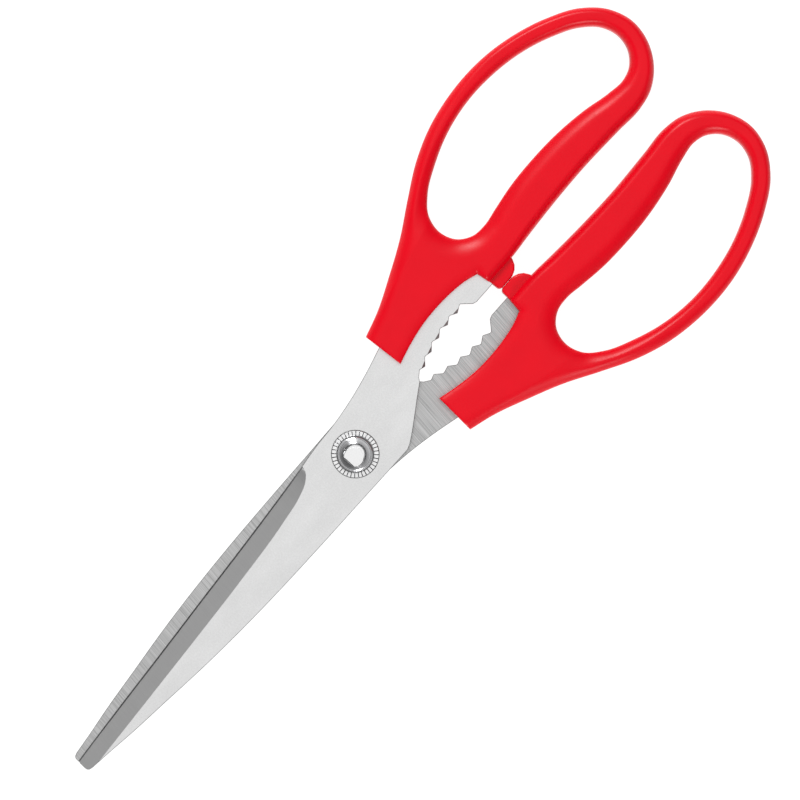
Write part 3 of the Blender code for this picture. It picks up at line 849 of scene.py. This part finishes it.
def make_bolt(body, look):
    """The bolt: head, shoulder and stud, and the D-shaped end that shows in the nut's dish."""
    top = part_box("pivot_bolt")[1].z / MM
    shoulder = MIDDLE_Z / MM
    stud_top = top - STUD_END
    profile = [
        (0.0, stud_top), (2.6, stud_top), (2.9, stud_top - 0.3), (2.9, shoulder), (3.6, shoulder),
        (3.6, 2.0), (6.3, 2.0), (6.5, 1.8), (6.5, 0.7), (6.4, 0.33), (6.17, 0.1), (5.8, 0.0),
        (0.0, 0.0),
    ]
    mesh = bpy.data.meshes.new("bolt")
    edges = [(k, k + 1) for k in range(len(profile) - 1)]
    mesh.from_pydata([(r * MM, 0, z * MM) for r, z in profile], edges, [])
    piece = add("bolt", mesh)
    screw = piece.modifiers.new("turn", "SCREW")
    screw.steps = screw.render_steps = 96
    screw.use_merge_vertices = True
    screw.merge_threshold = 1e-6
    applied(piece)
    face_outwards(piece.data)
    x, y, radius = STUD_END_CIRCLE
    outline = [(px, max(py, STUD_END_FLAT)) for px, py in circle(x, y, radius, 72)]
    outline = [point for point, after in zip(outline, outline[1:] + outline[:1])
               if max(point[1], after[1]) > STUD_END_FLAT]
    end = plate("stud_end", [outline], (stud_top - STUD_END_SINK) * MM, top * MM)
    round_edges(end, STUD_END_ROUNDING, segments=2, angle=50)
    cut(piece, end, "UNION")
    return dress(piece, [look], "pivot_bolt", body, sharp_angle=30)


# ---------------------------------------------------------------------- stage


def area_light(name, place, size, power):
    """A white lamp that shines on the shears and isn't seen itself."""
    light = bpy.data.lights.new(name, "AREA")
    light.shape = "RECTANGLE"
    light.size, light.size_y = size
    light.energy = power
    obj = bpy.data.objects.new(name, light)
    obj.location = place
    direction = Vector(LAMPS_AIM) - Vector(place)
    obj.rotation_euler = direction.to_track_quat("-Z", "Y").to_euler()
    obj.visible_camera = False
    bpy.context.scene.collection.objects.link(obj)
    return obj


def spare(lights, pieces):
    """Keep the lamps' mirror glare off wide polished faces, which show the sky alone."""
    group = bpy.data.collections.new("spared")
    for piece in pieces:
        group.objects.link(piece)
    for member in group.collection_objects:
        member.light_linking.link_state = "EXCLUDE"
    for light in lights:
        light.light_linking.receiver_collection = group


def studio(polished):
    """The soft sky, the two lamps and the floor; the lamps skip the polished pieces."""
    world = bpy.data.worlds.new("studio")
    world.use_nodes = True
    bpy.context.scene.world = world
    tree = world.node_tree
    background = tree.nodes["Background"]
    place = tree.nodes.new("ShaderNodeTexCoord")
    tilt = tree.nodes.new("ShaderNodeMapping")
    tilt.inputs["Rotation"].default_value = (math.radians(SKY_TILT), 0, 0)
    split = tree.nodes.new("ShaderNodeSeparateXYZ")
    ramp = tree.nodes.new("ShaderNodeValToRGB")
    ramp.color_ramp.interpolation = "EASE"
    elements = ramp.color_ramp.elements
    while len(elements) < len(SKY_LEVELS):
        elements.new(0.5)
    for element, (height, grey) in zip(elements, SKY_LEVELS):
        element.position = height
        element.color = (grey, grey, grey, 1)
    tree.links.new(place.outputs["Generated"], tilt.inputs["Vector"])
    tree.links.new(tilt.outputs["Vector"], split.inputs["Vector"])
    tree.links.new(split.outputs["Z"], ramp.inputs["Fac"])
    tree.links.new(ramp.outputs["Color"], background.inputs["Color"])
    key = area_light("key", *KEY_LAMP)
    fill = area_light("fill", *FILL_LAMP)
    spare((key, fill), polished)
    bpy.ops.mesh.primitive_plane_add(size=FLOOR_SIZE, location=(0, 0, FLOOR_Z))
    floor = bpy.context.object
    floor.name = "floor"
    floor.data.materials.append(light_table())


def camera():
    """Straight above the blades, rolled so that the handles point up and to the right."""
    data = bpy.data.cameras.new("camera")
    data.sensor_width = SENSOR_WIDTH
    data.lens = SENSOR_WIDTH * CAMERA_DISTANCE / FRAME_WIDTH
    data.clip_start, data.clip_end = 0.05, 20
    obj = bpy.data.objects.new("camera", data)
    obj.location = (CAMERA_X, CAMERA_Y, MIDDLE_Z + CAMERA_DISTANCE)
    obj.rotation_euler = (0, 0, math.radians(CAMERA_ROLL))
    bpy.context.scene.collection.objects.link(obj)
    bpy.context.scene.camera = obj


def main():
    """Every piece, then the stage and the camera."""
    red = red_plastic()
    steels = [blasted_steel(), ground_steel(), brushed_steel(), painted_shade_edge_steel()]
    plated_and_groove_shade = plated_steel_and_groove_shade()
    satin = turned_steel()
    spring = washer_steel()
    front = make_blade("blade_front", -1, FRONT_LOW, FRONT_HIGH, "front_blade", "front_half", steels)
    rear = make_blade("blade_rear", 1, REAR_LOW, REAR_HIGH, "rear_blade", "rear_half", steels)
    make_handle("handle_front", -1, FRONT_LOW, FRONT_HIGH, "front_handle", "front_half", red)
    make_handle("handle_rear", 1, REAR_LOW, REAR_HIGH, "rear_handle", "rear_half", red)
    make_nut("front_half", plated_and_groove_shade)
    # The washer's grooves and rim get darker steels as painted shade.
    make_serrated_washer("front_half", [satin, plated_and_groove_shade, steels[3]])
    make_bolt("front_half", satin)
    for name in ("spring_washer", "thrust_washer"):
        paint(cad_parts[name].data, spring)
    studio((front, rear))
    camera()
    view = bpy.context.scene.view_settings
    view.view_transform = "Standard"


main()
